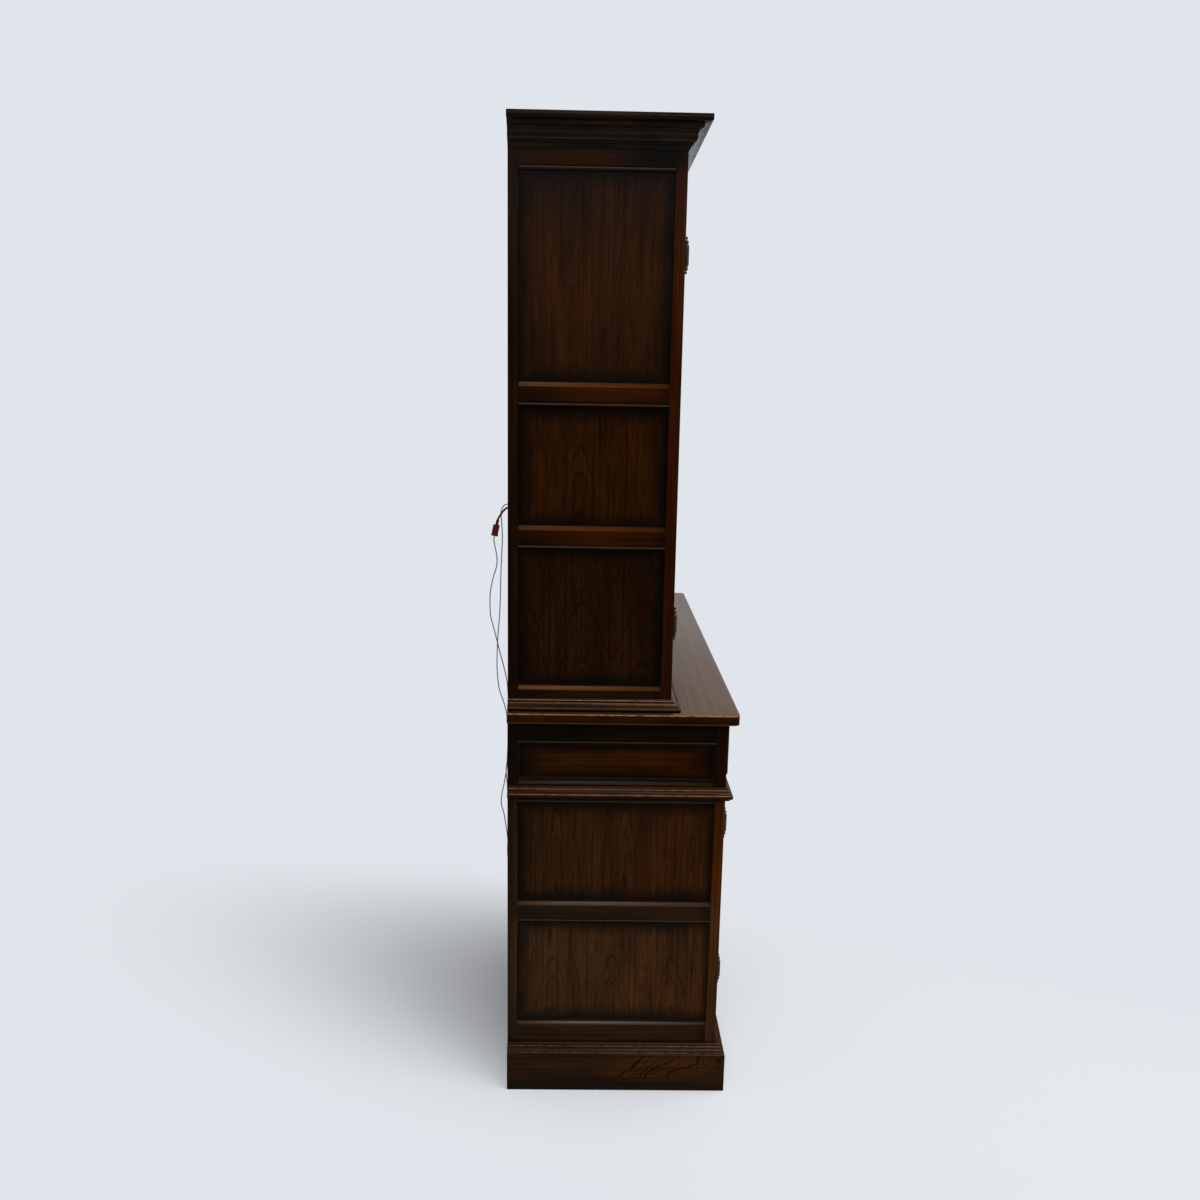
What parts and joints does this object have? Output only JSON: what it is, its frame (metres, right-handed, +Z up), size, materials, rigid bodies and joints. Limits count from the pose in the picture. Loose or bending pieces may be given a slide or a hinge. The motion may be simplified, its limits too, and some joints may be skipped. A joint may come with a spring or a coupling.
{
  "type": "display cabinet",
  "caption": "Tall two-stage panelled oak display cabinet: leaded glass doors over drawers and cupboard doors, with moulded cornice, counter top and plinth.",
  "frame": {"origin": "on the floor, under the middle of the cabinet's box without its free leads", "axes": "+X to the right seen from the front, +Y to the back, +Z up"},
  "size_m": [1.3316, 0.5354, 2.05],
  "materials": {
    "oak_frame": "dark antique oak, satin lacquer",
    "oak_panel": "dark antique oak, satin lacquer, toned darker at the edges",
    "oak_drawer": "dark antique oak, satin lacquer",
    "oak_moulding": "dark antique oak, rubbed on the arrises",
    "oak_counter": "dark antique oak, satin lacquer",
    "inner_board": "stained board",
    "back_board": "thin ply, unlacquered",
    "antique_brass": "dark antiqued",
    "clear_glass": "clear",
    "lead_came": "dull lead",
    "black_rubber": "matt",
    "red_plastic": "satin",
    "grey_lead": "satin",
    "white_plastic": "satin"
  },
  "bodies": {
    "carcass": {"base_left_frame": "oak_frame", "base_right_frame": "oak_frame", "base_front_frame": "oak_frame", "upper_left_frame": "oak_frame", "upper_right_frame": "oak_frame", "upper_front_frame": "oak_frame", "base_left_panel": "oak_panel", "base_right_panel": "oak_panel", "base_left_frieze_panel": "oak_panel", "base_right_frieze_panel": "oak_panel", "upper_left_panel": "oak_panel", "upper_right_panel": "oak_panel", "plinth": "oak_moulding", "waist_moulding": "oak_moulding", "foot_moulding": "oak_moulding", "cornice": "oak_moulding", "counter_top": "oak_counter", "base_floor": "inner_board", "base_shelf": "inner_board", "drawer_runner_board": "inner_board", "upper_floor": "inner_board", "upper_roof": "inner_board", "base_back": "back_board", "upper_back": "back_board", "left_glass_door_top_hinge": "antique_brass", "left_glass_door_bottom_hinge": "antique_brass", "left_base_door_top_hinge": "antique_brass", "left_base_door_bottom_hinge": "antique_brass", "right_glass_door_top_hinge": "antique_brass", "right_glass_door_bottom_hinge": "antique_brass", "right_base_door_top_hinge": "antique_brass", "right_base_door_bottom_hinge": "antique_brass", "lower_glass_shelf": "clear_glass", "upper_glass_shelf": "clear_glass", "upper_grommet": "black_rubber", "red_connector": "red_plastic", "lead_a": "grey_lead", "lead_b": "grey_lead", "cabinet_light": "white_plastic", "light_driver": "white_plastic"},
    "left_glass_door": {"left_glass_door_frame": "oak_frame", "left_pane": "clear_glass", "left_leading": "lead_came", "left_glass_door_knob": "antique_brass"},
    "left_base_door": {"left_base_door_frame": "oak_frame", "left_base_door_panel": "oak_panel", "left_base_door_knob": "antique_brass"},
    "left_drawer_body": {"left_drawer": "oak_drawer", "left_handle_plate": "antique_brass"},
    "left_bail_body": {"left_bail": "antique_brass"},
    "right_glass_door": {"right_glass_door_frame": "oak_frame", "right_pane": "clear_glass", "right_leading": "lead_came", "right_glass_door_knob": "antique_brass"},
    "right_base_door": {"right_base_door_frame": "oak_frame", "right_base_door_panel": "oak_panel", "right_base_door_knob": "antique_brass"},
    "right_drawer_body": {"right_drawer": "oak_drawer", "right_handle_plate": "antique_brass"},
    "right_bail_body": {"right_bail": "antique_brass"}
  },
  "joints": [
    {"name": "left_glass_door_hinge", "type": "hinge", "parent": "carcass", "child": "left_glass_door", "pos_m": [-0.58275, -0.1028, 1.434], "axis": [0, 0, -1], "range_deg": [0, 165]},
    {"name": "left_base_door_hinge", "type": "hinge", "parent": "carcass", "child": "left_base_door", "pos_m": [-0.59275, -0.2248, 0.4432], "axis": [0, 0, -1], "range_deg": [0, 165]},
    {"name": "left_drawer_slide", "type": "slide", "parent": "carcass", "child": "left_drawer_body", "axis": [0, -1, 0], "range_m": [0, 0.3]},
    {"name": "left_bail_swing", "type": "hinge", "parent": "left_drawer_body", "child": "left_bail_body", "pos_m": [-0.307, -0.2303, 0.79683], "axis": [-1, 0, 0], "range_deg": [0, 85]},
    {"name": "right_glass_door_hinge", "type": "hinge", "parent": "carcass", "child": "right_glass_door", "pos_m": [0.58275, -0.1028, 1.434], "axis": [0, 0, 1], "range_deg": [0, 165]},
    {"name": "right_base_door_hinge", "type": "hinge", "parent": "carcass", "child": "right_base_door", "pos_m": [0.59275, -0.2248, 0.4432], "axis": [0, 0, 1], "range_deg": [0, 165]},
    {"name": "right_drawer_slide", "type": "slide", "parent": "carcass", "child": "right_drawer_body", "axis": [0, -1, 0], "range_m": [0, 0.3]},
    {"name": "right_bail_swing", "type": "hinge", "parent": "right_drawer_body", "child": "right_bail_body", "pos_m": [0.307, -0.2303, 0.79683], "axis": [-1, 0, 0], "range_deg": [0, 85]}
  ]
}
